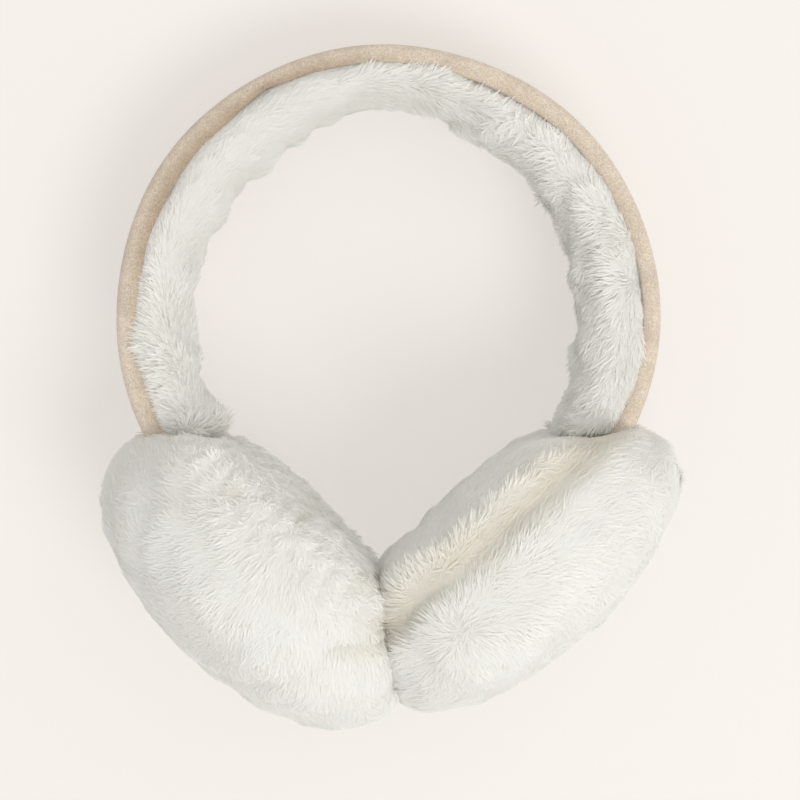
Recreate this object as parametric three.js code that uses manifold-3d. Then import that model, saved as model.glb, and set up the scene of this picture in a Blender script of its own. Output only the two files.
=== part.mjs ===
// Fur earmuffs: a suede headband lined with white fur, and two round fur pads that meet in a V below it.
// They lie as they come to rest when put down on a table: the rims of both pads and the lower edge of the
// crown touch z = 0. Millimetres, +Z up, +Y from the pads towards the crown, +X towards the right pad.
// Everything is first laid out in the headband's own plane: x across the pair, y towards the crown, z across
// the width of the band, with the centre of the band's circle at the origin. The last group leans that plane.
import * as THREE from "three";
import { mergeVertices } from "three/addons/utils/BufferGeometryUtils.js";
import Module from "manifold-3d";

const wasm = await Module();
wasm.setup();

// Headband
const BAND_RADIUS = 73.4; // outer face of the suede
const BAND_WIDTH = 34;
const BAND_END = 38; // degrees below the horizontal where each end stops, inside a pad
const SUEDE_THICK = 1.8;
const SUEDE_WRAP = 6.6; // how deep the suede folds in over each edge
const EDGE_ROUND = 3;
const BAND_STEPS = 34;

// Fur that lines the headband
const LINING_STEPS = 28;
const LINING_HALF_WIDTH = 18.2; // where the roll of fur is widest, past the suede's edges
const LOCK_REACH = 3.2; // how far the tips of the locks stand past the body that they grow from

// Pads
const PAD_RADIUS = 55.5;
const PAD_ROUNDNESS = 0.955; // the share of that radius across the band's width
const VALLEY = 8.6; // distance of the fur's parting from the pad's middle, towards the ear
const VALLEY_DEPTH = 9;
const PARTING = 0.7; // how far each lobe would reach past the parting if it weren't cut there
const PAD_STEPS = 26;

// How the pieces meet, and the finest detail that is kept
const GAP = 0.3;
const BACKING_GAP = 0.4; // between the lining's backing and the suede channel that it lies in
const SLIVER = 0.06;
const JOIN_Y = -31.3; // the lining of the band ends on the tops of the pads here
// The plane where the pads press together: a point on it, and its slant in degrees off upright
const TOUCH = { x: -0.5, y: -87.4, slant: 6.5 };
const SQUASH = 5.4; // how much the fur of a pad gives way under it on the table

const rad = THREE.MathUtils.degToRad;
const mix = THREE.MathUtils.lerp;

// The same spread of values between -1 and 1 each time the part is built
function scatter(seed) {
  const s = Math.sin(seed * 127.1 + 11.7) * 43758.5453;
  return 2 * (s - Math.floor(s)) - 1;
}

// Solids and meshes
function solid(geometry) {
  const bare = geometry.clone();
  bare.deleteAttribute("normal");
  bare.deleteAttribute("uv");
  const merged = mergeVertices(bare, 1e-4);
  return new wasm.Manifold(
    new wasm.Mesh({
      numProp: 3,
      vertProperties: new Float32Array(merged.attributes.position.array),
      triVerts: new Uint32Array(merged.index.array),
    }),
  );
}

function join(solids) {
  return solids.reduce((whole, piece) => whole.add(piece));
}

function surface(made) {
  const { numProp, numVert, vertProperties, triVerts } = made.getMesh();
  const positions = new Float32Array(numVert * 3);
  for (let i = 0; i < numVert; i++) {
    positions.set(vertProperties.subarray(i * numProp, i * numProp + 3), i * 3);
  }
  const geometry = new THREE.BufferGeometry();
  geometry.setAttribute("position", new THREE.BufferAttribute(positions, 3));
  geometry.setIndex(new THREE.BufferAttribute(triVerts, 1));
  return geometry;
}

// The outer skin of a solid, without the slivers and the small hollows that are left where locks cross
function largest(made) {
  return made.decompose().reduce((best, piece) => (piece.volume() > best.volume() ? piece : best));
}

function skin(made) {
  return largest(solid(surface(largest(made).simplify(SLIVER))));
}

function mesh(name, made, material) {
  const geometry = surface(skin(made));
  geometry.computeVertexNormals();
  const placed = new THREE.Mesh(geometry, material);
  placed.name = name;
  return placed;
}

// A lock of fur lies on a surface like a scale, from its root to its tip, with a ridge between. The
// surface gives the point and the normal at a share of its profile's length and a turn in radians.
const LOCK_WIDEST = 0.42; // share of the lock's run
const LOCK_SINK = 2.6;
const LOCK_EDGE_SINK = 0.5;

function lock(surfaceOf, { share, turn, heading, run, width, rise, tip }) {
  const { radius } = surfaceOf.at(share, turn);
  const place = (forward, sideways, height) => {
    const onwards = forward * Math.cos(heading) - sideways * Math.sin(heading);
    const round = forward * Math.sin(heading) + sideways * Math.cos(heading);
    const spot = surfaceOf.at(share + onwards / surfaceOf.length, turn + round / radius);
    return spot.point.addScaledVector(spot.normal, height);
  };
  const middle = LOCK_WIDEST * run;
  const corners = [
    place(middle, -width / 2, -LOCK_EDGE_SINK),
    place(middle, width / 2, -LOCK_EDGE_SINK),
    place(middle, 0, rise),
    place(middle, 0, -LOCK_SINK),
    place(run, 0, tip),
    place(0, 0, -LOCK_EDGE_SINK),
  ];
  const geometry = new THREE.OctahedronGeometry(1);
  const position = geometry.attributes.position;
  const axes = ["getX", "getY", "getZ"];
  for (let i = 0; i < position.count; i++) {
    const axis = axes.findIndex((get) => Math.abs(position[get](i)) > 0.5);
    const corner = corners[2 * axis + (position[axes[axis]](i) < 0 ? 1 : 0)];
    position.setXYZ(i, corner.x, corner.y, corner.z);
  }
  return solid(geometry);
}

// A point of a profile at a share of its length, with the profile's direction there
function profileLength(profile) {
  return profile.slice(1).reduce((sum, p, i) => sum + p.distanceTo(profile[i]), 0);
}

function alongProfile(profile, share) {
  let rest = THREE.MathUtils.clamp(share, 0, 1) * profileLength(profile);
  let at = 0;
  while (at < profile.length - 2 && rest > profile[at + 1].distanceTo(profile[at])) {
    rest -= profile[at + 1].distanceTo(profile[at]);
    at++;
  }
  const direction = profile[at + 1].clone().sub(profile[at]).normalize();
  return { point: profile[at].clone().addScaledVector(direction, rest), direction };
}

// Headband: the suede is a channel, seen here as its section. x runs across the band and y inwards from the
// outer face, and grow gives the same channel with a clearance round it.
class BandArc extends THREE.Curve {
  constructor(from, to) {
    super();
    this.from = from;
    this.to = to;
  }
  getPoint(t, target = new THREE.Vector3()) {
    const angle = rad(mix(this.from, this.to, t));
    return target.set(BAND_RADIUS * Math.cos(angle), BAND_RADIUS * Math.sin(angle), 0);
  }
}

function channelSection(grow = 0) {
  const half = BAND_WIDTH / 2 + grow;
  const inside = half - SUEDE_THICK - 2 * grow;
  const tip = SUEDE_WRAP + grow;
  const web = SUEDE_THICK + grow;
  const round = EDGE_ROUND + grow;
  const innerRound = EDGE_ROUND - SUEDE_THICK;
  const shape = new THREE.Shape();
  shape.moveTo(-half, tip);
  shape.absarc(-half + round, round - grow, round, Math.PI, 1.5 * Math.PI);
  shape.absarc(half - round, round - grow, round, 1.5 * Math.PI, 2 * Math.PI);
  shape.lineTo(half, tip);
  shape.lineTo(inside, tip);
  shape.lineTo(inside, web + innerRound);
  shape.lineTo(inside - innerRound, web);
  shape.lineTo(-inside + innerRound, web);
  shape.lineTo(-inside, web + innerRound);
  shape.lineTo(-inside, tip);
  return shape;
}

function alongBand(shape, from, to, steps) {
  return solid(
    new THREE.ExtrudeGeometry(shape, { steps, curveSegments: 2, extrudePath: new BandArc(from, to) }),
  );
}

function headbandCover() {
  return alongBand(channelSection(), -BAND_END, 180 + BAND_END, BAND_STEPS);
}

function coverClearance() {
  return alongBand(channelSection(GAP), -BAND_END - 1, 180 + BAND_END + 1, BAND_STEPS);
}

// The whole end of the band, channel and hollow, with clearance: the slot that it fills in a pad
function bandEndSlot(from, to) {
  const half = BAND_WIDTH / 2 + GAP;
  const shape = new THREE.Shape();
  shape.moveTo(-half, -GAP);
  shape.lineTo(half, -GAP);
  shape.lineTo(half, SUEDE_WRAP + GAP);
  shape.lineTo(-half, SUEDE_WRAP + GAP);
  return alongBand(shape, from, to, 6);
}

// How deep the fur reaches in from the suede's outer face, by degrees round the band from the right
const PILE_DEPTH = [
  { angle: -38, depth: 21 },
  { angle: -15, depth: 22 },
  { angle: 5, depth: 22.5 },
  { angle: 30, depth: 20.5 },
  { angle: 62, depth: 20 },
  { angle: 80, depth: 17 },
  { angle: 96, depth: 16 },
  { angle: 108, depth: 19 },
  { angle: 130, depth: 22 },
  { angle: 152, depth: 21.5 },
  { angle: 180, depth: 20.5 },
  { angle: 218, depth: 21 },
];

function pileDepth(angle) {
  const next = PILE_DEPTH.findIndex((row) => row.angle >= angle);
  const b = PILE_DEPTH[Math.max(next, 1)];
  const a = PILE_DEPTH[Math.max(next, 1) - 1];
  return mix(a.depth, b.depth, THREE.MathUtils.smoothstep(angle, a.angle, b.angle));
}

// Half of the lining's section: the backing inside the channel, at a depth in millimetres, and the roll of
// fur, at a share of the way from the channel to the tips and a share of its half width
const BACKING_HALF = BAND_WIDTH / 2 - SUEDE_THICK - BACKING_GAP;
const BACKING = [
  { depth: SUEDE_THICK + BACKING_GAP, half: 11 },
  { depth: SUEDE_THICK + BACKING_GAP + 1.5, half: BACKING_HALF },
  { depth: SUEDE_WRAP + BACKING_GAP, half: BACKING_HALF },
];
const ROLL = [
  { share: 0.02, half: 0.93 },
  { share: 0.32, half: 1 },
  { share: 0.66, half: 0.86 },
  { share: 0.9, half: 0.55 },
  { share: 1, half: 0.2 },
];

function bandPoint(angle, depth, across) {
  const r = BAND_RADIUS - depth;
  return new THREE.Vector3(r * Math.cos(rad(angle)), r * Math.sin(rad(angle)), across);
}

function rollOutline(angle) {
  const start = SUEDE_WRAP + BACKING_GAP;
  const tip = pileDepth(angle) - LOCK_REACH;
  const half = ROLL.map(
    (row) => new THREE.Vector2(row.half * LINING_HALF_WIDTH, mix(start, tip, row.share)),
  );
  return [...half, ...half.map((p) => new THREE.Vector2(-p.x, p.y)).reverse()];
}

function liningRing(angle) {
  const backing = BACKING.map((row) => new THREE.Vector2(row.half, row.depth));
  const across = backing.map((p) => new THREE.Vector2(-p.x, p.y)).reverse();
  return [...backing, ...rollOutline(angle), ...across].map((p) => bandPoint(angle, p.y, p.x));
}

// A body through rings of points, with a flat end on the first and the last
function loft(rings) {
  const size = rings[0].length;
  const points = rings.flat();
  const faces = [];
  for (let r = 0; r + 1 < rings.length; r++) {
    for (let i = 0; i < size; i++) {
      const a = r * size + i;
      const b = r * size + ((i + 1) % size);
      faces.push(a, b + size, b, a, a + size, b + size);
    }
  }
  const middles = [rings[0], rings.at(-1)].map((ring) =>
    ring.reduce((sum, p) => sum.add(p), new THREE.Vector3()).divideScalar(size),
  );
  const first = points.length;
  const last = (rings.length - 1) * size;
  for (let i = 0; i < size; i++) {
    const j = (i + 1) % size;
    faces.push(first, i, j, first + 1, last + j, last + i);
  }
  const geometry = new THREE.BufferGeometry().setFromPoints([...points, ...middles]);
  geometry.setIndex(faces);
  return solid(geometry);
}

// The surface that the lining's locks grow on
const liningSurface = {
  length: profileLength(rollOutline(90)),
  at(share, turn) {
    const angle = THREE.MathUtils.radToDeg(turn);
    const { point, direction } = alongProfile(rollOutline(angle), share);
    const inward = new THREE.Vector3(-Math.cos(turn), -Math.sin(turn), 0);
    return {
      point: bandPoint(angle, point.y, point.x),
      normal: new THREE.Vector3(0, 0, direction.y).addScaledVector(inward, -direction.x),
      radius: BAND_RADIUS - point.y,
    };
  },
};

// Rows of locks from edge to edge: the share of the outline at the root, and the way each lock is combed,
// in degrees from the outline's own direction round towards the left end of the band
const LINING_LOCKS = [
  { share: 0.1, heading: 150, run: 9, width: 10, rise: 1.2, tip: 0.8 },
  { share: 0.14, heading: 40, run: 12, width: 11, rise: 1.9, tip: 1.6 },
  { share: 0.36, heading: 60, run: 12, width: 11, rise: 2.1, tip: 2.4 },
  { share: 0.64, heading: 120, run: 12, width: 11, rise: 2.1, tip: 2.4 },
  { share: 0.86, heading: 140, run: 12, width: 11, rise: 1.9, tip: 1.6 },
  { share: 0.9, heading: 30, run: 9, width: 10, rise: 1.2, tip: 0.8 },
];
const LINING_LOCK_COLUMNS = 15;
const LINING_LOCK_RANGE = [-26, 206];

function liningLocks() {
  return LINING_LOCKS.flatMap((row, r) =>
    Array.from({ length: LINING_LOCK_COLUMNS }, (_, i) => {
      const wander = scatter(r * 3.1 + i * 7.7);
      const across = (i + 0.5 + 0.3 * wander + 0.25 * (r % 2)) / LINING_LOCK_COLUMNS;
      return lock(liningSurface, {
        ...row,
        turn: rad(mix(...LINING_LOCK_RANGE, across)),
        heading: rad(row.heading + 30 * wander),
        run: row.run * (1 + 0.2 * scatter(r + 2.3 * i)),
      });
    }),
  );
}

function headbandFur() {
  const rings = Array.from({ length: LINING_STEPS + 1 }, (_, i) =>
    liningRing(mix(-BAND_END + 2, 180 + BAND_END - 2, i / LINING_STEPS)),
  );
  return join([loft(rings), ...liningLocks()]).subtract(coverClearance());
}

// Pads: each lobe is turned round the pad's axis. A profile's points are the radius and the distance
// along that axis, which points to the ear; bottom is the middle of the outer face.
function ellipsePoint(radius, depth, angle) {
  return new THREE.Vector2(radius * Math.cos(angle), depth * Math.sin(angle));
}

function outerProfile(depth) {
  const radius = PAD_RADIUS - LOCK_REACH;
  const dome = [-90, -74, -58, -42, -27, -13, 0].map((a) =>
    ellipsePoint(radius, depth - LOCK_REACH, rad(a)),
  );
  return [
    ...dome,
    new THREE.Vector2(radius - 0.12 * VALLEY_DEPTH, 0.45 * VALLEY),
    new THREE.Vector2(radius - 0.45 * VALLEY_DEPTH, 0.82 * VALLEY),
    new THREE.Vector2(radius - VALLEY_DEPTH, VALLEY + PARTING),
    new THREE.Vector2(0, VALLEY + PARTING),
  ];
}

function earProfile(depth) {
  const radius = PAD_RADIUS - LOCK_REACH - 2;
  const face = depth - LOCK_REACH;
  const bottom = VALLEY + GAP - PARTING;
  const rim = (inset, share) => new THREE.Vector2(radius - inset, mix(bottom, face, share));
  return [
    new THREE.Vector2(0, bottom),
    rim(VALLEY_DEPTH - 2, 0),
    rim(2.6, 0.12),
    rim(0.2, 0.34),
    rim(0.6, 0.58),
    rim(4, 0.82),
    rim(11, 0.95),
    rim(24, 1),
    new THREE.Vector2(0, face),
  ];
}

function turned(profile) {
  const geometry = new THREE.LatheGeometry(profile, PAD_STEPS);
  geometry.rotateX(Math.PI / 2);
  return geometry;
}

function lobeSurface(profile) {
  return {
    length: profileLength(profile),
    at(share, turn) {
      const { point, direction } = alongProfile(profile, share);
      const out = new THREE.Vector3(Math.cos(turn), Math.sin(turn), 0);
      return {
        point: new THREE.Vector3(0, 0, point.y).addScaledVector(out, point.x),
        normal: new THREE.Vector3(0, 0, -direction.x).addScaledVector(out, direction.y),
        radius: Math.max(point.x, 1),
      };
    },
  };
}

// Rings of locks on each lobe: the share of the profile at the root, how many, and which way they are
// combed, in degrees from the profile's own direction round the pad
const OUTER_LOCKS = [
  { share: 0.5, count: 15, heading: 150, run: 13, width: 14, rise: 2.2, tip: 2.2 },
  { share: 0.4, count: 13, heading: 215, run: 14, width: 15, rise: 2.3, tip: 2.2 },
  { share: 0.3, count: 9, heading: 150, run: 14, width: 15, rise: 2.3, tip: 2.2 },
  { share: 0.2, count: 8, heading: 215, run: 13, width: 13, rise: 2.3, tip: 2.2 },
  { share: 0.1, count: 4, heading: 150, run: 12, width: 12, rise: 2.2, tip: 2 },
  { share: 0.53, count: 12, heading: 25, run: 9, width: 14, rise: 1.6, tip: 0.8 },
];
const EAR_LOCKS = [
  { share: 0.36, count: 16, heading: 35, run: 11, width: 13, rise: 2.1, tip: 2 },
  { share: 0.5, count: 14, heading: -40, run: 13, width: 14, rise: 2.2, tip: 2 },
  { share: 0.64, count: 9, heading: 35, run: 13, width: 13, rise: 2.2, tip: 2 },
  { share: 0.8, count: 5, heading: -40, run: 12, width: 12, rise: 2.1, tip: 1.8 },
];

function lobe(profile, rows, seed) {
  const skinOf = lobeSurface(profile);
  const locks = rows.flatMap((row, r) =>
    Array.from({ length: row.count }, (_, i) => {
      const wander = scatter(seed + r * 17.3 + i * 5.9);
      return lock(skinOf, {
        ...row,
        turn: (2 * Math.PI * (i + 0.5 * (r % 2) + 0.2 * wander)) / row.count,
        heading: rad(row.heading + 20 * wander),
        run: row.run * (1 + 0.2 * scatter(seed + r + 3.7 * i)),
      });
    }),
  );
  return join([solid(turned(profile)), ...locks]);
}

// Where each pad sits: its middle, the angle of its long side below the horizontal, and the depth of
// each lobe. side is -1 at the left, where the pad's axis points up and to the right.
const PADS = [
  { name: "left", side: -1, x: -36.6, y: -71.9, slope: 43.5, outerDepth: 29.5, earDepth: 28.5 },
  { name: "right", side: 1, x: 38.3, y: -68.4, slope: 42.5, outerDepth: 26.5, earDepth: 30 },
];

function padPlace({ side, x, y, slope }) {
  const toEar = new THREE.Vector3(-side * Math.sin(rad(slope)), Math.cos(rad(slope)), 0);
  const toTip = new THREE.Vector3(-side * Math.cos(rad(slope)), -Math.sin(rad(slope)), 0);
  const across = new THREE.Vector3().crossVectors(toEar, toTip);
  return new THREE.Matrix4()
    .makeBasis(toTip, across, toEar)
    .setPosition(x, y, 0)
    .multiply(new THREE.Matrix4().makeScale(1, PAD_ROUNDNESS, 1));
}

// How far the band's plane leans back for the pads and the crown to rest on one table
function crownHeight(lean) {
  const corner = BAND_RADIUS - EDGE_ROUND;
  const edge = BAND_WIDTH / 2 - EDGE_ROUND;
  return -edge * Math.cos(lean) - corner * Math.sin(lean) - EDGE_ROUND;
}

function padHeight(lean) {
  const middle = (PADS[0].y + PADS[1].y) / 2;
  const slope = rad(PADS[0].slope);
  const reach = Math.hypot(
    PAD_RADIUS * Math.sin(slope) * Math.sin(lean),
    PADS[0].outerDepth * Math.cos(slope) * Math.sin(lean),
    PAD_RADIUS * PAD_ROUNDNESS * Math.cos(lean),
  );
  return -middle * Math.sin(lean) - reach + SQUASH;
}

function restingLean() {
  let low = 0;
  let high = rad(45);
  while (high - low > 1e-6) {
    const lean = (low + high) / 2;
    if (padHeight(lean) > crownHeight(lean)) high = lean;
    else low = lean;
  }
  return low;
}

const LEAN = restingLean();
const TABLE = crownHeight(LEAN);
const UP = [0, -Math.sin(LEAN), Math.cos(LEAN)];

// A pad's solid, cut where it presses against the other pad, the lining above it and the table, and
// with the slot that the end of the headband sits in
function trimmedPad(made, side) {
  const slant = rad(TOUCH.slant);
  const facing = [side * Math.cos(slant), side * Math.sin(slant), 0];
  const offset = facing[0] * TOUCH.x + facing[1] * TOUCH.y + GAP / 2;
  return made
    .trimByPlane(facing, offset)
    .trimByPlane([0, -1, 0], -JOIN_Y + GAP)
    .trimByPlane(UP, TABLE)
    .subtract(side < 0 ? bandEndSlot(200, 180 + BAND_END + 1) : bandEndSlot(-BAND_END - 1, -20));
}

function padLobes(pad, seed) {
  const place = padPlace(pad).elements;
  const outer = lobe(outerProfile(pad.outerDepth), OUTER_LOCKS, seed).trimByPlane([0, 0, -1], -VALLEY);
  const ear = lobe(earProfile(pad.earDepth), EAR_LOCKS, seed + 40).trimByPlane([0, 0, 1], VALLEY + GAP);
  return [outer, ear].map((made) => trimmedPad(made.transform(place), pad.side));
}

// Materials
const suede = new THREE.MeshStandardMaterial({ name: "suede", color: 0xd8c6ae, roughness: 0.95 });
const bandFur = new THREE.MeshStandardMaterial({ name: "band_fur", color: 0xebe9e0, roughness: 0.9 });
const padFur = new THREE.MeshStandardMaterial({ name: "pad_fur", color: 0xf0efea, roughness: 0.9 });

// The pair, laid out in the band's plane and then leaned back onto the table
const pair = new THREE.Group();
pair.add(mesh("headband_cover", headbandCover(), suede));
pair.add(
  mesh("headband_fur", headbandFur().trimByPlane([0, 1, 0], JOIN_Y).trimByPlane(UP, TABLE), bandFur),
);
PADS.forEach((pad, i) => {
  const [outer, ear] = padLobes(pad, 1 + 100 * i);
  pair.add(mesh(`${pad.name}_pad_outer_fur`, outer, padFur));
  pair.add(mesh(`${pad.name}_pad_ear_fur`, ear, padFur));
});
pair.rotation.x = -LEAN;
pair.position.z = -TABLE;

// The origin is under the middle of the whole, on the table
const earmuffs = new THREE.Group();
earmuffs.add(pair);
const box = new THREE.Box3().setFromObject(earmuffs, true);
earmuffs.position.set(-(box.min.x + box.max.x) / 2, -(box.min.y + box.max.y) / 2, -box.min.z);

export default earmuffs;
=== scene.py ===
import math

import bmesh
import bpy
import numpy as np
from mathutils import Matrix, Vector


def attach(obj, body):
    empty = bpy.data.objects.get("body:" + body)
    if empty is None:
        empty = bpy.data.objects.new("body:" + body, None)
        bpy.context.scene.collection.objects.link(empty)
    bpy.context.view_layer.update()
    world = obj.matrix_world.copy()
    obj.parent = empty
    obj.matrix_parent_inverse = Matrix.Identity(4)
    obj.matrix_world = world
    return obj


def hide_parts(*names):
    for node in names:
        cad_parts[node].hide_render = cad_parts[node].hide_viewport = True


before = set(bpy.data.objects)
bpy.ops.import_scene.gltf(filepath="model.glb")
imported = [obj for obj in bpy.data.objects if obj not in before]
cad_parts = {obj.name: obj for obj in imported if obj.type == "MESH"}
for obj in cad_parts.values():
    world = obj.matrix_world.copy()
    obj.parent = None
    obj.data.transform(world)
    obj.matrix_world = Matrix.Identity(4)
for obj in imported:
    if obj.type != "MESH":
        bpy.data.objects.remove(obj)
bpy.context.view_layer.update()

# How the pair lies
# The headband and the pads share one plane, which leans back until the crown touches the table.
# In that plane x runs across the pair, v towards the crown and w up through the width of the band,
# all in millimetres from the centre of the headband's circle.
MM = 0.001
LEAN = math.radians(12.54913)
BAND_CENTRE = Vector((-0.640, 19.028, 31.962))
ACROSS = Vector((1, 0, 0))
TO_CROWN = Vector((0, math.cos(LEAN), -math.sin(LEAN)))
OUT_OF_BAND = Vector((0, math.sin(LEAN), math.cos(LEAN)))
PLANE = np.array([ACROSS, TO_CROWN, OUT_OF_BAND])


def on_table(points):
    """Points in the band's plane, in millimetres, moved to their place on the table, in metres."""
    return (np.asarray(points) @ PLANE + np.array(BAND_CENTRE)) * MM


def in_band_plane(points):
    """The other way round: places on the table, in metres, as x, v and w in millimetres."""
    return (np.asarray(points) / MM - np.array(BAND_CENTRE)) @ PLANE.T


def smooth_step(low, high, values):
    t = np.clip((values - low) / (high - low), 0, 1)
    return t * t * (3 - 2 * t)


def place(nodes, kind, settings=(), **inputs):
    """Adds a shader node with its settings, and values for its inputs by name."""
    made = nodes.new(kind)
    for key, value in dict(settings).items():
        setattr(made, key, value)
    for label, value in inputs.items():
        made.inputs[label.replace("_", " ")].default_value = value
    return made


# Headband cover
# A strip of beige suede over the spring of the headband, folded in round both of its edges so that
# it makes a channel for the fur. It is cut and turned, with no stitching on the outside.
BAND_RADIUS = 73.4
BAND_WIDTH = 34.0
BAND_END = 38.0
SUEDE_THICK = 1.8
COVER_STEPS = 300
# How far the suede is folded in, in millimetres, at degrees round the band from its right side
FOLD = [
    (-38, 5.4), (-10, 5.0), (15, 5.0), (35, 5.3), (60, 5.9), (80, 5.4), (100, 5.1), (112, 5.0),
    (118, 4.1), (123, 5.0), (130, 6.1), (150, 6.3), (165, 6.1), (185, 6.5), (205, 6.4), (218, 6.2),
]


def fold_at(angles):
    at, width = zip(*FOLD)
    return np.interp(angles, at, width)


def fillet(centre, radius, start, end, steps):
    """Points round a quarter turn, in degrees, for a soft corner."""
    angles = np.radians(np.linspace(start, end, steps))
    return [(centre[0] + radius * math.cos(a), centre[1] + radius * math.sin(a)) for a in angles]


def cover_section(fold):
    """The channel's outline. x runs across the band and y in from its outer face."""
    half = BAND_WIDTH / 2
    inner = half - SUEDE_THICK
    right = (
        fillet((half - 2.6, 2.6), 2.6, -90, 0, 8)
        + [(half + 0.15, (2.6 + fold) / 2)]
        + fillet((half - 0.9, fold - 0.9), 0.9, 0, 90, 5)
        + [(inner, fold - 0.2), (inner, SUEDE_THICK + 1.4)]
        + fillet((inner - 1.4, SUEDE_THICK + 1.4), 1.4, 0, -90, 3)
    )
    left = [(-x, y) for x, y in reversed(right)]
    outer = [(x, 0.0) for x in np.linspace(-half + 2.6, half - 2.6, 9)[1:-1]]
    return np.array(right + left + outer)


def sweep(rings):
    """A closed skin through rings of points, with its two ends capped."""
    size = len(rings[0])
    faces = []
    for r in range(len(rings) - 1):
        for i in range(size):
            j = (i + 1) % size
            faces.append((r * size + i, r * size + j, (r + 1) * size + j, (r + 1) * size + i))
    faces.append(tuple(range(size))[::-1])
    faces.append(tuple(range((len(rings) - 1) * size, len(rings) * size)))
    return np.concatenate(rings), faces


def new_piece(name, points, faces, material):
    mesh = bpy.data.meshes.new(name)
    mesh.from_pydata([tuple(p) for p in points], [], faces)
    edit = bmesh.new()
    edit.from_mesh(mesh)
    bmesh.ops.recalc_face_normals(edit, faces=edit.faces)
    edit.to_mesh(mesh)
    edit.free()
    mesh.shade_smooth()
    mesh.materials.append(material)
    piece = bpy.data.objects.new(name, mesh)
    bpy.context.collection.objects.link(piece)
    return piece


def write(piece, name, values):
    """Keeps one number or one vector for each vertex of a piece, under a name that materials can read."""
    kind, field = ("FLOAT_VECTOR", "vector") if np.ndim(values) == 2 else ("FLOAT", "value")
    mesh = piece.data
    kept = mesh.attributes[name] if name in mesh.attributes else mesh.attributes.new(name, kind, "POINT")
    kept.data.foreach_set(field, np.ravel(values).astype(np.float32))


def suede_material():
    made = bpy.data.materials.new("suede")
    made.use_nodes = True
    nodes, links = made.node_tree.nodes, made.node_tree.links
    shader = nodes["Principled BSDF"]
    shader.inputs["Roughness"].default_value = 0.95
    shader.inputs["Specular IOR Level"].default_value = 0.12
    shader.inputs["Sheen Weight"].default_value = 0.45
    shader.inputs["Sheen Roughness"].default_value = 0.55
    shader.inputs["Sheen Tint"].default_value = (1.0, 0.96, 0.91, 1)
    where = place(nodes, "ShaderNodeTexCoord")
    patches = place(nodes, "ShaderNodeTexNoise", Scale=170, Detail=5, Roughness=0.6)
    nap = place(nodes, "ShaderNodeTexNoise", Scale=2300, Detail=4, Roughness=0.75)
    brushed = place(nodes, "ShaderNodeTexNoise", Scale=620, Detail=2, Distortion=1.5)
    for noise in (patches, nap, brushed):
        links.new(where.outputs["Object"], noise.inputs["Vector"])
    tones = place(nodes, "ShaderNodeValToRGB")
    tones.color_ramp.elements[0].position = 0.3
    tones.color_ramp.elements[0].color = (0.594, 0.503, 0.40, 1)
    tones.color_ramp.elements[1].position = 0.7
    tones.color_ramp.elements[1].color = (0.71, 0.612, 0.50, 1)
    links.new(patches.outputs["Fac"], tones.inputs["Fac"])
    fleck = place(nodes, "ShaderNodeMapRange", From_Min=0.3, From_Max=0.7, To_Min=0.66, To_Max=1.24)
    links.new(nap.outputs["Fac"], fleck.inputs["Value"])
    stroke = place(nodes, "ShaderNodeMapRange", From_Min=0.3, From_Max=0.7, To_Min=0.93, To_Max=1.06)
    links.new(brushed.outputs["Fac"], stroke.inputs["Value"])
    # Painted shade: the shade attribute darkens the suede and makes it browner towards the fur and at the upper
    # left
    painted_shade = place(nodes, "ShaderNodeAttribute", {"attribute_name": "shade"})
    total = place(nodes, "ShaderNodeMath", {"operation": "MULTIPLY"})
    links.new(fleck.outputs["Result"], total.inputs[0])
    links.new(stroke.outputs["Result"], total.inputs[1])
    browner = place(nodes, "ShaderNodeValToRGB")
    browner.color_ramp.elements[0].position = 0.5
    browner.color_ramp.elements[0].color = (0.54, 0.46, 0.38, 1)
    browner.color_ramp.elements[1].position = 1.0
    browner.color_ramp.elements[1].color = (1, 1, 1, 1)
    links.new(painted_shade.outputs["Fac"], browner.inputs["Fac"])
    grain = place(nodes, "ShaderNodeMix", {"data_type": "RGBA", "blend_type": "MULTIPLY"}, Factor=1.0)
    links.new(tones.outputs["Color"], grain.inputs["A"])
    links.new(total.outputs["Value"], grain.inputs["B"])
    toned = place(nodes, "ShaderNodeMix", {"data_type": "RGBA", "blend_type": "MULTIPLY"}, Factor=1.0)
    links.new(grain.outputs["Result"], toned.inputs["A"])
    links.new(browner.outputs["Color"], toned.inputs["B"])
    links.new(toned.outputs["Result"], shader.inputs["Base Color"])
    bump = place(nodes, "ShaderNodeBump", Strength=0.45, Distance=0.0003)
    links.new(nap.outputs["Fac"], bump.inputs["Height"])
    links.new(bump.outputs["Normal"], shader.inputs["Normal"])
    return made


cover_angles = np.linspace(-BAND_END, 180 + BAND_END, COVER_STEPS)
cover_rings, cover_shade = [], []
for angle in cover_angles:
    a = math.radians(angle)
    section = cover_section(float(fold_at(angle)))
    slack = 0.22 * math.sin(3.1 * a + 0.6) + 0.15 * math.sin(7.3 * a + 2.0)
    radius = BAND_RADIUS - section[:, 1] + slack
    cover_rings.append(on_table(np.stack([radius * math.cos(a), radius * math.sin(a), section[:, 0]], 1)))
    # Painted shade: darker towards the fur inside the fold, and darker overall at the upper left
    top_left = smooth_step(80, 112, angle) * smooth_step(185, 160, angle)
    darker = 0.10 + 0.08 * smooth_step(85, 115, angle) + 0.16 * top_left
    cover_shade.append(1 - 0.06 * top_left - darker * smooth_step(1.0, fold_at(angle), section[:, 1]))
headband_cover = new_piece("headband_suede", *sweep(cover_rings), suede_material())
write(headband_cover, "shade", np.concatenate(cover_shade))
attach(headband_cover, "root")
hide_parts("headband_cover")


# Fur lining of the headband
# A roll of white fur, glued into the suede channel and spilling over its edges. The left half is
# smooth and lies along the band, and the right half is ruffled, with tufts across the suede's edge.

# The strands' length and width in metres, on the band as on the pads
STRAND_LENGTH = 0.006
STRAND_WIDTH = 0.000125
CLUMPS_PER_CM2 = 16.0
# The spot at the upper right where the suede's edge shows clear of the fur, as x, v and size
CLEAR_SPOT = (33, 62, 17)


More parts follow.
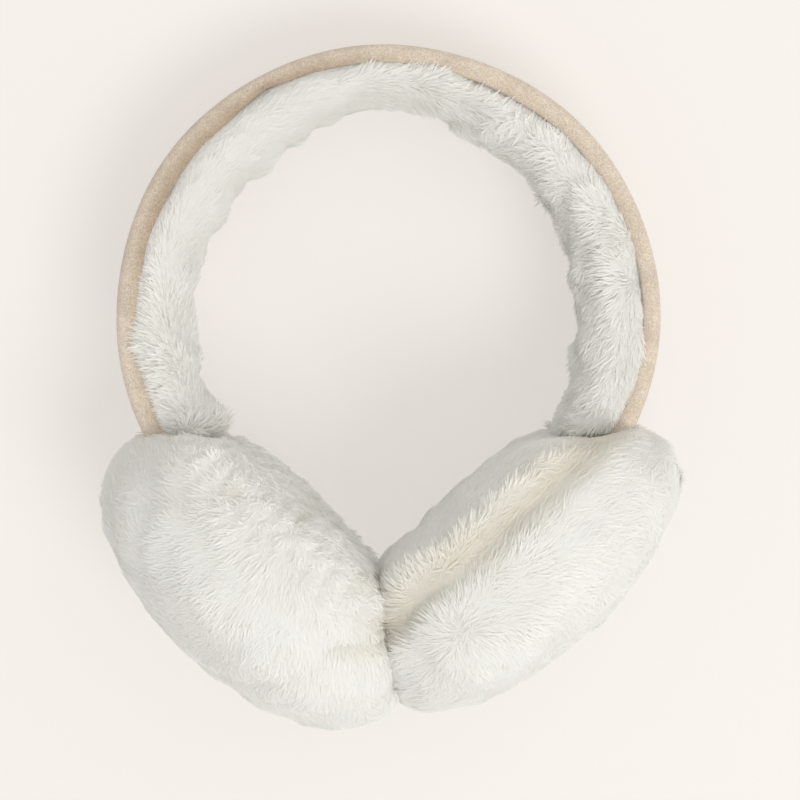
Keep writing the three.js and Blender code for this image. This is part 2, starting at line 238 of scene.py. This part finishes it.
def fur_material(name, root_colour, tip_colour, warm_colour):
    made = bpy.data.materials.new(name)
    made.use_nodes = True
    nodes, links = made.node_tree.nodes, made.node_tree.links
    shader = nodes["Principled BSDF"]
    shader.inputs["Roughness"].default_value = 0.7
    shader.inputs["Specular IOR Level"].default_value = 0.2
    along = place(nodes, "ShaderNodeAttribute", {"attribute_name": "along"})
    tint = place(nodes, "ShaderNodeAttribute", {"attribute_name": "tint"})
    tone = place(nodes, "ShaderNodeMix", {"data_type": "RGBA"})
    tone.inputs["A"].default_value = (*root_colour, 1)
    tone.inputs["B"].default_value = (*tip_colour, 1)
    links.new(along.outputs["Fac"], tone.inputs["Factor"])
    where = place(nodes, "ShaderNodeTexCoord")
    patches = place(nodes, "ShaderNodeTexNoise", Scale=55, Detail=3, Roughness=0.55)
    links.new(where.outputs["Object"], patches.inputs["Vector"])
    creamy = place(nodes, "ShaderNodeMapRange", From_Min=0.4, From_Max=0.7, To_Min=0.0, To_Max=0.07)
    links.new(patches.outputs["Fac"], creamy.inputs["Value"])
    both = place(nodes, "ShaderNodeMath", {"operation": "ADD", "use_clamp": True})
    links.new(creamy.outputs["Result"], both.inputs[0])
    links.new(tint.outputs["Fac"], both.inputs[1])
    # Warm tone: random creamy patches and the tint attribute, which on the pads is partly painted shade in the
    # dip and the hollows
    warm_tone_and_shade = place(nodes, "ShaderNodeMix", {"data_type": "RGBA"})
    warm_tone_and_shade.inputs["B"].default_value = (*warm_colour, 1)
    links.new(both.outputs["Value"], warm_tone_and_shade.inputs["Factor"])
    links.new(tone.outputs["Result"], warm_tone_and_shade.inputs["A"])
    links.new(warm_tone_and_shade.outputs["Result"], shader.inputs["Base Color"])
    through = place(nodes, "ShaderNodeBsdfTranslucent")
    links.new(warm_tone_and_shade.outputs["Result"], through.inputs["Color"])
    blend = place(nodes, "ShaderNodeMixShader", Fac=0.5)
    links.new(shader.outputs["BSDF"], blend.inputs[1])
    links.new(through.outputs["BSDF"], blend.inputs[2])
    links.new(blend.outputs["Shader"], nodes["Material Output"].inputs["Surface"])
    return made


# The warm colour is used for random creamy patches and for painted shade on the pads
white_fur = fur_material("white_fur", (0.955, 0.952, 0.93), (0.975, 0.975, 0.967), (0.87, 0.84, 0.76))


def baked(piece):
    """The piece with its modifiers made part of its mesh."""
    graph = bpy.context.evaluated_depsgraph_get()
    mesh = bpy.data.meshes.new_from_object(piece.evaluated_get(graph))
    piece.modifiers.clear()
    piece.data = mesh
    return piece


def pelt(name, *nodes, voxel, smooth_steps):
    """The body under the fur: the solids' own form, made one and soft, with voxels in millimetres."""
    edit = bmesh.new()
    for node in nodes:
        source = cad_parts[node]
        mesh = source.data.copy()
        mesh.transform(source.matrix_world)
        edit.from_mesh(mesh)
        bpy.data.meshes.remove(mesh)
    bmesh.ops.remove_doubles(edit, verts=edit.verts, dist=1e-6)
    mesh = bpy.data.meshes.new(name)
    edit.to_mesh(mesh)
    edit.free()
    piece = bpy.data.objects.new(name, mesh)
    bpy.context.collection.objects.link(piece)
    remesh = piece.modifiers.new("remesh", "REMESH")
    remesh.mode = "VOXEL"
    remesh.voxel_size = voxel * MM
    smooth = piece.modifiers.new("smooth", "SMOOTH")
    smooth.factor = 0.5
    smooth.iterations = smooth_steps
    return baked(piece)


def surface(piece):
    """Each vertex of a piece and the way it faces, in the band's plane."""
    places, facing = np.empty((2, len(piece.data.vertices) * 3))
    piece.data.vertices.foreach_get("co", places)
    piece.data.vertex_normals.foreach_get("vector", facing)
    return in_band_plane(places.reshape(-1, 3)), facing.reshape(-1, 3) @ PLANE.T


ABOVE_TABLE = 0.0002


def shift(piece, points):
    """Moves the vertices of a piece to points in the band's plane, and none below the table."""
    places = on_table(points)
    places[:, 2] = np.maximum(places[:, 2], ABOVE_TABLE)
    piece.data.vertices.foreach_set("co", places.ravel())
    piece.data.update()


def ripple(points, seed, size):
    """Smooth values about -1 to 1 over points in millimetres, which change over about that size."""
    rng = np.random.default_rng(seed)
    total = np.zeros(len(points))
    for _ in range(9):
        way = rng.normal(size=3)
        way = way / np.linalg.norm(way) * rng.uniform(0.6, 1.5)
        total += np.sin(points @ way * (2 * math.pi / size / 1.6) + rng.uniform(0, 6.28))
    return total / 3.6


def near(points, x, v, size):
    """1 at a spot in the band's plane, down to 0 about twice the size away from it."""
    return np.exp(-((points[:, 0] - x) ** 2 + (points[:, 1] - v) ** 2) / size**2)


def combed(points, outwards, marks, wander):
    """The way the fur lies: from marks of x, v and a heading in degrees, with some wander added."""
    marks = np.array(marks, float)
    apart = np.sum((points[:, None, :2] - marks[None, :, :2]) ** 2, axis=2)
    weight = 1 / (apart + 40) ** 2
    heading = np.radians(marks[:, 2])
    way = np.stack([weight @ np.cos(heading), weight @ np.sin(heading)], 1) / weight.sum(1)[:, None]
    way = np.concatenate([way, -0.35 * smooth_step(-12, 0, points[:, 2])[:, None]], 1)
    for seed, size, amount in wander:
        for axis in range(3):
            way[:, axis] += amount * ripple(points, 10 * seed + axis, size)
    way -= outwards * np.sum(way * outwards, 1)[:, None]
    return way / np.maximum(np.linalg.norm(way, axis=1), 0.75)[:, None]


# The tree that grows the strands on a pelt, with sizes in metres
FUR_INPUTS = {
    "Strands per cm2": ("NodeSocketFloat", 800.0),
    "Length": ("NodeSocketFloat", 0.008),
    "Width": ("NodeSocketFloat", 0.0002),
    "Lift": ("NodeSocketFloat", 0.2),
    "Wander": ("NodeSocketFloat", 0.3),
    "Clumps per cm2": ("NodeSocketFloat", 14.0),
    "Clumping": ("NodeSocketFloat", 0.3),
    "Seed": ("NodeSocketInt", 1),
    "Material": ("NodeSocketMaterial", None),
}
# Attributes that the growing strands read, and that the finished mesh doesn't need
SPENT = (
    "up", "root", "clump_root", "clump_comb", "clump_up", "clump_turn", "own_turn", "own_length",
    "side", "comb", "cover", "reach", "rise", "clumping", "tousle",
)


class FurTree:
    """Adds nodes to the tree and joins them up, so that its sums read as sums."""

    def __init__(self, name, inputs):
        self.group = bpy.data.node_groups.new(name, "GeometryNodeTree")
        face = self.group.interface
        face.new_socket("Pelt", in_out="INPUT", socket_type="NodeSocketGeometry")
        for label, (kind, value) in inputs.items():
            socket = face.new_socket(label, in_out="INPUT", socket_type=kind)
            if value is not None:
                socket.default_value = value
        face.new_socket("Fur", in_out="OUTPUT", socket_type="NodeSocketGeometry")
        self.start = self.group.nodes.new("NodeGroupInput")
        self.end = self.group.nodes.new("NodeGroupOutput")

    def given(self, label):
        return self.start.outputs[label]

    def add(self, kind, inputs=(), **settings):
        made = self.group.nodes.new(kind)
        for key, value in settings.items():
            setattr(made, key, value)
        for label, value in dict(inputs).items():
            ports = [s for s in made.inputs if s.enabled]
            port = ports[label] if isinstance(label, int) else next(s for s in ports if s.name == label)
            if isinstance(value, bpy.types.NodeSocket):
                self.group.links.new(value, port)
            else:
                port.default_value = value
        return made

    def out(self, node, label=None):
        ports = [s for s in node.outputs if s.enabled]
        return next(s for s in ports if label is None or s.name == label)

    def make(self, kind, inputs=(), **settings):
        return self.out(self.add(kind, inputs, **settings))

    def math(self, work, a, b):
        return self.make("ShaderNodeMath", {0: a, 1: b}, operation=work)

    def product(self, *values):
        total = values[0]
        for value in values[1:]:
            total = self.math("MULTIPLY", total, value)
        return total

    def vector(self, work, *inputs):
        return self.make("ShaderNodeVectorMath", dict(enumerate(inputs)), operation=work)

    def times(self, vector, amount):
        return self.make("ShaderNodeVectorMath", {"Vector": vector, "Scale": amount}, operation="SCALE")

    def plus(self, *vectors):
        total = vectors[0]
        for vector in vectors[1:]:
            total = self.vector("ADD", total, vector)
        return total

    def one_long(self, vector):
        return self.vector("NORMALIZE", vector)

    def read(self, name, kind="FLOAT"):
        return self.make("GeometryNodeInputNamedAttribute", {"Name": name}, data_type=kind)

    def read_vector(self, name):
        return self.read(name, "FLOAT_VECTOR")

    def store(self, geometry, name, value, kind="FLOAT"):
        inputs = {"Geometry": geometry, "Name": name, "Value": value}
        return self.make("GeometryNodeStoreNamedAttribute", inputs, data_type=kind, domain="POINT")

    def store_vector(self, geometry, name, value):
        return self.store(geometry, name, value, "FLOAT_VECTOR")

    def random(self, low, high, seed, kind="FLOAT"):
        seeds = self.math("ADD", self.given("Seed"), float(seed))
        return self.make("FunctionNodeRandomValue", {"Min": low, "Max": high, "Seed": seeds}, data_type=kind)

    def scatter(self, per_square_cm, seed):
        density = self.product(per_square_cm, 10000.0, self.read("cover"))
        inputs = {"Mesh": self.given("Pelt"), "Density": density, "Seed": seed}
        spots = self.add("GeometryNodeDistributePointsOnFaces", inputs, distribute_method="RANDOM")
        return self.store_vector(self.out(spots, "Points"), "up", self.out(spots, "Normal"))


def fur_tree():
    tree = FurTree("fur_strands", FUR_INPUTS)
    position = tree.make("GeometryNodeInputPosition")
    roots = tree.scatter(tree.given("Strands per cm2"), tree.given("Seed"))
    roots = tree.store_vector(roots, "root", position)

    # Clumps: fewer roots, whose own strands the rest lean to
    middles = tree.scatter(tree.given("Clumps per cm2"), tree.math("ADD", tree.given("Seed"), 71.0))
    closest = {"Geometry": middles, "Sample Position": position}
    nearest = tree.make("GeometryNodeSampleNearest", closest, domain="POINT")

    def of_clump(value):
        inputs = {"Geometry": middles, "Value": value, "Index": nearest}
        return tree.make("GeometryNodeSampleIndex", inputs, data_type="FLOAT_VECTOR", domain="POINT")

    any_way = ((-1, -1, -1), (1, 1, 1))
    roots = tree.store_vector(roots, "clump_root", of_clump(position))
    roots = tree.store_vector(roots, "clump_comb", of_clump(tree.read_vector("comb")))
    roots = tree.store_vector(roots, "clump_up", of_clump(tree.read_vector("up")))
    roots = tree.store_vector(roots, "clump_turn", of_clump(tree.random(*any_way, 5, "FLOAT_VECTOR")))
    roots = tree.store_vector(roots, "own_turn", tree.random(*any_way, 9, "FLOAT_VECTOR"))
    roots = tree.store(roots, "own_length", tree.random(0.6, 1.05, 13))

    # One strand as a flat kite, root to tip over its long diagonal, which every root then gets
    kite = tree.make("GeometryNodeMeshGrid", {"Size X": 1.0, "Size Y": 1.0, "Vertices X": 2, "Vertices Y": 2})
    corner = tree.add("ShaderNodeSeparateXYZ", {"Vector": position})
    x, y = tree.out(corner, "X"), tree.out(corner, "Y")
    kite = tree.store(kite, "side", tree.product(tree.math("SUBTRACT", x, y), 0.5))
    kite = tree.store(kite, "along", tree.product(tree.math("ADD", tree.math("ADD", x, y), 1.0), 0.5))
    planted = tree.make("GeometryNodeInstanceOnPoints", {"Points": roots, "Instance": kite})
    fur = tree.make("GeometryNodeRealizeInstances", {"Geometry": planted})

    t = tree.read("along")
    t_squared = tree.product(t, t)
    length = tree.product(tree.given("Length"), tree.read("reach"), tree.read("own_length"))
    rising = tree.math("SUBTRACT", tree.product(t, 1.6), tree.product(t_squared, 0.6))
    height = tree.product(length, tree.given("Lift"), tree.read("rise"), rising)
    wander = tree.product(tree.given("Wander"), tree.read("tousle"))

    def bent(root, comb, up, turn, turn_amount):
        way = tree.one_long(tree.plus(comb, tree.times(turn, turn_amount)))
        dot = tree.out(tree.add("ShaderNodeVectorMath", {0: way, 1: up}, operation="DOT_PRODUCT"), "Value")
        flat = tree.one_long(tree.vector("SUBTRACT", way, tree.times(up, dot)))
        return flat, tree.plus(root, tree.times(flat, tree.product(length, t)), tree.times(up, height))

    own_turn, up = tree.read_vector("own_turn"), tree.read_vector("up")
    own_way, own_path = bent(tree.read_vector("root"), tree.read_vector("comb"), up, own_turn, wander)
    _, clump_path = bent(
        tree.read_vector("clump_root"),
        tree.read_vector("clump_comb"),
        tree.read_vector("clump_up"),
        tree.read_vector("clump_turn"),
        tree.product(wander, 1.3),
    )
    pull = tree.product(tree.given("Clumping"), tree.read("clumping"), t_squared)
    middle = tree.plus(own_path, tree.times(tree.vector("SUBTRACT", clump_path, own_path), pull))
    facing = tree.plus(up, (0.0, 0.0, 0.6))
    across = tree.one_long(tree.plus(tree.vector("CROSS_PRODUCT", own_way, facing), tree.times(own_turn, 0.05)))
    bow = tree.product(length, 0.3, tree.math("SUBTRACT", t, t_squared), tree.random(-1.0, 1.0, 17))
    aside = tree.math("ADD", tree.product(tree.given("Width"), tree.read("side")), bow)
    placed = tree.plus(middle, tree.times(across, aside))
    placed = tree.vector("MAXIMUM", placed, (-1.0, -1.0, 0.0001))
    fur = tree.make("GeometryNodeSetPosition", {"Geometry": fur, "Position": placed})
    for name in SPENT:
        fur = tree.make("GeometryNodeRemoveAttribute", {"Geometry": fur, "Name": name})
    fur = tree.make("GeometryNodeSetMaterial", {"Geometry": fur, "Material": tree.given("Material")})
    tree.group.links.new(fur, tree.end.inputs["Fur"])
    return tree.group


grow_fur = fur_tree()


def strands(name, slot, grown_on, cover, **sizes):
    """The strands that grow on a pelt where its cover isn't 0, as a plain mesh that rides with it."""
    write(grown_on, "cover", cover)
    made = bpy.data.objects.new(name, grown_on.data.copy())
    bpy.context.collection.objects.link(made)
    growth = made.modifiers.new("fur", "NODES")
    growth.node_group = grow_fur
    sizes = {label.replace("_", " "): value for label, value in sizes.items()}
    for item in grow_fur.interface.items_tree:
        if item.in_out == "INPUT" and item.name in sizes:
            growth[item.identifier] = sizes[item.name]
    baked(made)
    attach(made, "root")


def finish_pelt(piece, slot, *nodes):
    write(piece, "along", np.full(len(piece.data.vertices), 0.3))
    piece.data.materials.clear()
    piece.data.materials.append(white_fur)
    piece.data.shade_smooth()
    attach(piece, "root")
    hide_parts(*nodes)


BAND_COMBING = [
    (-51, -30, 40), (-62, -30, 200), (-56, -25, 175), (-66, -21, 165), (-51, -20, 80), (-57, -14, 170),
    (-66, -13, 160), (-63, -3, 165), (-53, -3, 110), (-66, 8, 160), (-56, 9, 100), (-52, 22, 75), (-59, 23, 90),
    (-52, 35, 62), (-42, 46, 45), (-27, 57, 28), (-16, 56, 20), (-13, 64, 15), (1, 60, 5), (-4, 67, 65),
    (9, 66, 55), (12, 59, -5), (23, 56, 20), (31, 49, 200), (35, 59, 65), (38, 41, 205), (43, 49, 80),
    (45, 34, 215), (52, 39, 95), (56, 33, 120), (49, 22, 215), (59, 20, 200), (53, 9, 225), (65, 13, 110),
    (61, 4, 230), (56, -3, 228), (61, -6, 262), (70, -1, 300), (58, -14, 240), (64, -16, 255), (70, -14, 275),
    (60, -26, 250), (52, -27, 185),
]
# Where longer tufts cross the edge of the suede, as x, v and size
WISPS = [
    (-68, 8, 3.5), (-68, -8, 5), (-68, -22, 4), (-6, 67, 3), (4, 68, 3), (12, 67, 3),
    (36, 59, 3.5), (39, 57, 2.5), (58, 38, 3), (64, 24, 3), (69, 6, 3.5), (69, -8, 3),
]
lining = pelt("headband_fur_pelt", "headband_fur", voxel=1.5, smooth_steps=16)
points, outwards = surface(lining)
depth = BAND_RADIUS - np.hypot(points[:, 0], points[:, 1])
fold = fold_at(np.degrees(np.arctan2(points[:, 1], points[:, 0])) % 360 - 360 * (points[:, 1] < -60))
ruffled = smooth_step(-20, 20, points[:, 0]) + smooth_step(14, -12, points[:, 1]) * (points[:, 0] < 0)
tufts = 0.35 * ripple(points, 62, 9) + 0.1 * ripple(points, 63, 5)
relief = 0.3 + 0.35 * ripple(points, 61, 15) + ruffled * tufts
lip = smooth_step(fold - 1.2, fold + 0.4, depth) * smooth_step(10, 7, depth)
lip *= smooth_step(8, 12, np.abs(points[:, 2]))
clear_edge = near(points, *CLEAR_SPOT)
relief += lip * (0.4 + 0.7 * ruffled) * (1 - clear_edge) - 0.9 * lip * clear_edge
relief += 2.2 * near(points, 69, -12, 9) * smooth_step(10, 5, depth) * smooth_step(4, 10, points[:, 2])
shift(lining, points + outwards * relief[:, None])
points, outwards = surface(lining)
comb = combed(points, outwards, BAND_COMBING, [(41, 30, 0.15), (47, 8, 0.12)])
write(lining, "comb", comb @ PLANE)
clear_edge = near(points, *CLEAR_SPOT)
wisps = np.zeros(len(points))
for x, v, size in WISPS:
    wisps = np.maximum(wisps, near(points, x, v, size))
rim = smooth_step(fold + 6, fold, depth)
inner_wall = ruffled * smooth_step(0.8, 0.3, outwards[:, 2]) * smooth_step(-6, 6, points[:, 2])
edge_reach = 1 - rim * (0.75 - 0.95 * wisps)
edge_reach *= 1 - 0.35 * rim * clear_edge * (1 - wisps)
write(lining, "reach", (0.85 + 0.25 * ruffled) * edge_reach * (1 - 0.35 * inner_wall))
write(lining, "rise", 0.8 + 0.5 * ruffled + 0.3 * ripple(points, 64, 12) + 5 * inner_wall)
write(lining, "clumping", 0.4 + 1.1 * ruffled)
write(lining, "tousle", 0.9 + 0.4 * ruffled)
write(lining, "tint", np.full(len(points), 0.15))
shown = 0.45 + 0.55 * smooth_step(-0.7, 0.1, outwards[:, 2])
for half, side in (("left", -1), ("right", 1)):
    strands(
        f"headband_fur_{half}_strands",
        "band_fur",
        lining,
        shown * smooth_step(fold - 1.5, fold + 0.5, depth) * (side * points[:, 0] > 0),
        Strands_per_cm2=860.0,
        Length=STRAND_LENGTH,
        Width=STRAND_WIDTH,
        Lift=0.06,
        Clumping=0.08,
        Clumps_per_cm2=CLUMPS_PER_CM2,
        Wander=0.42,
        Seed=31 + side,
        Material=white_fur,
    )
finish_pelt(lining, "band_fur", "headband_fur")


# Ear pads
# Two round pads under white fur. The fur parts in a valley round each rim, where the pelt of the
# domed outside meets the pelt of the ear side. The pads rest on their rims and press together.

# In millimetres: how far the seam lies from a pad's middle towards the ear, how far to each side of
# it and below what height the pelt is sewn down, and how much smaller it starts before it swells
VALLEY = 8.6
SEAM_WIDTH = 4
SEWN_BELOW = -6
SLACK = 0.3
PAD_VOXEL = 4.7
PADS = {
    "left": dict(
        side=-1,
        middle=(-36.6, -71.9, 0),
        slope=43.5,
        smooth_steps=4,
        wander=[(3, 24, 0.22), (4, 9, 0.16)],
        curly=1.0,
        fill=1.8,
        dip=16,
        dig=0.0,
        # The next value sets how strongly painted shade warms and darkens the dip beyond the seam
        warm_tone_and_shade=0.1,
        # Hollows and creases are dented, and painted shade darkens their colour
        hollows=[(-39, -47, 2.2), (-22, -52, 2.0), (-7, -70, 2.2), (-3, -81, 2.0)],
        creases=[((-15, -85), (-2, -85.5), 1.5)],
        swells=[(-50, -36, 8, 3)],
        scallops=0.35,
        combing=[
            (-71, -42, 118), (-75, -50, 165), (-76, -63, 185), (-66, -56, 165), (-55, -45, 135),
            (-51, -34, 115), (-41, -42, 120), (-41, -56, 170), (-62, -64, 176), (-52, -60, 178),
            (-60, -71, 195), (-68, -75, 190), (-60, -81, 203), (-49, -78, 208), (-40, -70, 205),
            (-48, -89, 228), (-39, -89, 238), (-38, -99, 250), (-30, -93, 252), (-30, -78, 235),
            (-24, -105, 265), (-13, -105, 278), (-4, -109, 295), (-24, -83, 265), (-13, -94, 285),
            (-17, -72, 292), (-24, -65, 255), (-31, -61, 215), (-16, -60, 300), (-6, -75, 318),
            (-24, -50, 335), (-35, -36, 350),
        ],
    ),
    "right": dict(
        side=1,
        middle=(38.3, -68.4, 0),
        slope=42.5,
        smooth_steps=5,
        wander=[(5, 26, 0.2), (6, 9, 0.14)],
        curly=0.12,
        fill=2.6,
        dip=15.5,
        dig=1.6,
        # The next value sets how strongly painted shade warms and darkens the dip beyond the seam
        warm_tone_and_shade=0.75,
        hollows=[],
        creases=[],
        swells=[(53, -34, 8, 2)],
        scallops=0.75,
        combing=[
            (9, -89, 205), (3, -96, 200), (12, -98, 245), (20, -96, 268), (5, -84, 165), (25, -88, 300),
            (14, -80, 95), (26, -78, 30), (45, -67, 5), (36, -74, 5), (31, -92, 292), (42, -87, 303),
            (53, -78, 315), (64, -67, 328), (72, -56, 350), (78, -45, 12), (75, -36, 35), (59, -50, 25),
            (52, -58, 32), (47, -46, 48), (34, -60, 75), (20, -70, 92), (25, -45, 60), (12, -56, 66),
            (4, -68, 100), (43, -34, 50),
        ],
    ),
}


PRESSURE = 9.0
STIFFNESS = 4.0
SWELL_FRAMES = 20
FARTHEST_SWELL = 2.5


def puffed(piece, held):
    """Blows a piece up from inside as fabric, with its held vertices sewn down, and lets no vertex
    move further than FARTHEST_SWELL, in millimetres. Two subdivisions then make the skin fine."""
    before, _ = surface(piece)
    sewn = piece.vertex_groups.new(name="sewn")
    sewn.add([int(at) for at in np.flatnonzero(held)], 1.0, "REPLACE")
    cloth = piece.modifiers.new("cloth", "CLOTH")
    cloth.settings.use_pressure = True
    cloth.settings.uniform_pressure_force = PRESSURE
    cloth.settings.tension_stiffness = STIFFNESS
    cloth.settings.compression_stiffness = STIFFNESS
    cloth.settings.effector_weights.gravity = 0.0
    cloth.settings.vertex_group_mass = "sewn"
    cloth.point_cache.frame_start, cloth.point_cache.frame_end = 1, SWELL_FRAMES
    for step in range(1, SWELL_FRAMES + 1):
        bpy.context.scene.frame_set(step)
    baked(piece)
    bpy.context.scene.frame_set(1)
    piece.vertex_groups.clear()
    move = surface(piece)[0] - before
    far = np.linalg.norm(move, axis=1)
    shift(piece, before + move * np.minimum(1, FARTHEST_SWELL / np.maximum(far, 1e-9))[:, None])
    finer = piece.modifiers.new("finer", "SUBSURF")
    finer.levels = 2
    return baked(piece)


def from_line(points, start, end):
    """How far each point is from a line between two places in the band's plane."""
    start, run = np.array(start, float), np.array(end, float) - np.array(start, float)
    along = np.clip((points[:, :2] - start) @ run / (run @ run), 0, 1)
    return np.linalg.norm(points[:, :2] - start - along[:, None] * run, axis=1)


for pad_name, pad in PADS.items():
    turn = math.radians(pad["slope"])
    to_ear = np.array([-pad["side"] * math.sin(turn), math.cos(turn), 0.0])
    nodes = (f"{pad_name}_pad_outer_fur", f"{pad_name}_pad_ear_fur")
    body = pelt(f"{pad_name}_pad_pelt", *nodes, voxel=PAD_VOXEL, smooth_steps=pad["smooth_steps"])
    points, outwards = surface(body)
    earward = (points - np.array(pad["middle"])) @ to_ear
    sewn_down = (np.abs(earward - VALLEY) < SEAM_WIDTH) & (points[:, 2] < SEWN_BELOW)
    pressed = (pad["side"] * points[:, 0] < 2.5) & (outwards[:, 0] * pad["side"] < -0.5)
    shift(body, points - outwards * np.where(sewn_down | pressed, 0.0, SLACK)[:, None])
    puffed(body, sewn_down | pressed)
    points, outwards = surface(body)
    earward = (points - np.array(pad["middle"])) @ to_ear
    curly = smooth_step(VALLEY, VALLEY + 8, earward) * pad["curly"]
    top = smooth_step(-2, 6, points[:, 2])

    # Lumps and curls, then the filled valley, the shaded dip beyond it and the edge's small scallops
    relief = 0.4 * ripple(points, 71, 17) + 0.15 * ripple(points, 72, 7)
    relief += curly * (0.6 * ripple(points, 73, 4.6) + 0.3 * ripple(points, 74, 2.8))
    # The hollows and creases: dents in the pelt, and painted shade in the tint below
    dark = np.zeros(len(points))
    for x, v, size in pad["hollows"]:
        dark += top * near(points, x, v, size)
    for start, end, size in pad["creases"]:
        dark += top * np.exp(-((from_line(points, start, end) / size) ** 2))
    relief += top * pad["fill"] * np.exp(-(((earward - VALLEY) / 5.5) ** 2))
    relief -= top * pad["dig"] * np.exp(-(((earward - pad["dip"]) / 6.5) ** 2))
    relief += pad["scallops"] * ripple(points, 75, 9) * smooth_step(-8, -20, earward)

    # The ear side stands squarer than the solid, and the pads press a little into each other
    ear_slope = smooth_step(14, 22, earward) * smooth_step(0.75, 0.35, outwards[:, 2])
    ear_slope *= smooth_step(0, 12, points[:, 2]) * smooth_step(6, 18, np.abs(points[:, 0]))
    relief -= 0.8 * ear_slope
    facing_other = smooth_step(0.2, 0.7, -pad["side"] * outwards[:, 0])
    relief += 0.9 * smooth_step(9, 3, np.abs(points[:, 0])) * facing_other
    raised = 4.5 * smooth_step(13, 25, earward) * smooth_step(4, 18, points[:, 2])
    for x, v, size, height in pad["swells"]:
        raised += height * near(points, x, v, size) * smooth_step(10, 25, points[:, 2])
    lifted = raised[:, None] * np.array([0, 0, 1.0])
    shift(body, points + outwards * (relief - 0.9 * dark)[:, None] + lifted)
    points, outwards = surface(body)

    # How the fur lies and stands
    write(body, "comb", combed(points, outwards, pad["combing"], pad["wander"]) @ PLANE)
    write(body, "reach", (1 - 0.35 * curly) * (1 - 0.35 * ear_slope))
    write(body, "rise", 1 + 0.8 * curly + 0.3 * ripple(points, 77, 14) + 2 * ear_slope)
    write(body, "clumping", 1 + 4 * curly + 0.5 * ripple(points, 78, 12))
    write(body, "tousle", 1 + 1.3 * curly + 0.4 * ripple(points, 79, 11))
    # Painted shade: a warmer, darker band of colour along the dip beyond the seam, and darker colour in the
    # hollows and creases
    painted_valley_shade = top * pad["warm_tone_and_shade"] * np.exp(-(((earward - pad["dip"]) / 6) ** 2))
    write(body, "tint", 0.05 + painted_valley_shade + 0.4 * dark)
    shown = 0.45 + 0.55 * smooth_step(-0.7, 0.1, outwards[:, 2])
    for lobe, into_ear, density in (("outer", -1, 690.0), ("ear", 1, 590.0)):
        strands(
            f"{pad_name}_pad_{lobe}_strands",
            "pad_fur",
            body,
            shown * smooth_step(-2, 2, into_ear * (earward - VALLEY)),
            Strands_per_cm2=density,
            Length=STRAND_LENGTH,
            Width=STRAND_WIDTH,
            Lift=0.05,
            Clumping=0.04,
            Clumps_per_cm2=CLUMPS_PER_CM2,
            Wander=0.5,
            Seed=11 + len(pad_name) + into_ear,
            Material=white_fur,
        )
    finish_pelt(body, "pad_fur", *nodes)


# Table, light and camera
# A pale table lit a little from below, as one for photographing small things is, a large soft lamp
# to the lower right, a wider and weaker one at the upper right, and a white room all round.
table_glow = bpy.data.materials.new("pale_table")
table_glow.use_nodes = True
shader = table_glow.node_tree.nodes["Principled BSDF"]
shader.inputs["Base Color"].default_value = (0.35, 0.335, 0.32, 1)
shader.inputs["Roughness"].default_value = 0.95
shader.inputs["Specular IOR Level"].default_value = 0.0
shader.inputs["Emission Color"].default_value = (0.525, 0.50, 0.475, 1)
shader.inputs["Emission Strength"].default_value = 1.0
corners = [(-3, -3, 0), (3, -3, 0), (3, 3, 0), (-3, 3, 0)]
table_top = new_piece("table_top", corners, [(0, 1, 2, 3)], table_glow)

for lamp_name, where, size, power in (
    ("soft_lamp", (0.45, -0.35, 1.3), 0.7, 8.7),
    ("fill_lamp", (0.45, 0.7, 1.2), 1.0, 2.9),
):
    lamp = bpy.data.lights.new(lamp_name, "AREA")
    lamp.shape = "DISK"
    lamp.size = size
    lamp.energy = power
    lamp.color = (1.0, 0.99, 0.975)
    holder = bpy.data.objects.new(lamp_name, lamp)
    holder.location = where
    holder.rotation_euler = (-holder.location).to_track_quat("-Z", "Y").to_euler()
    bpy.context.collection.objects.link(holder)

room = bpy.data.worlds.new("studio")
room.use_nodes = True
room.node_tree.nodes["Background"].inputs["Color"].default_value = (1.0, 0.995, 0.985, 1)
room.node_tree.nodes["Background"].inputs["Strength"].default_value = 0.715
scene = bpy.context.scene
scene.world = room
scene.view_settings.view_transform = "Standard"
scene.cycles.max_bounces = 10
scene.cycles.diffuse_bounces = 7
scene.cycles.transmission_bounces = 7

# The camera looks straight down through the ring of the headband, as in the photograph. The picture is
# square, and PICTURE_WIDTH of the band's plane fills it from side to side.
CAMERA_HEIGHT = 640.0
PICTURE_WIDTH = 220.8
PICTURE_CENTRE = (3.3, -22.6)
eye = bpy.data.cameras.new("camera")
eye.sensor_width = 36
eye.lens = eye.sensor_width * CAMERA_HEIGHT / PICTURE_WIDTH
eye.clip_start = 0.01
camera = bpy.data.objects.new("camera", eye)
stand = Matrix((ACROSS, TO_CROWN, OUT_OF_BAND)).transposed().to_4x4()
stand.translation = Vector(on_table([(*PICTURE_CENTRE, CAMERA_HEIGHT)])[0])
camera.matrix_world = stand
bpy.context.collection.objects.link(camera)
scene.camera = camera
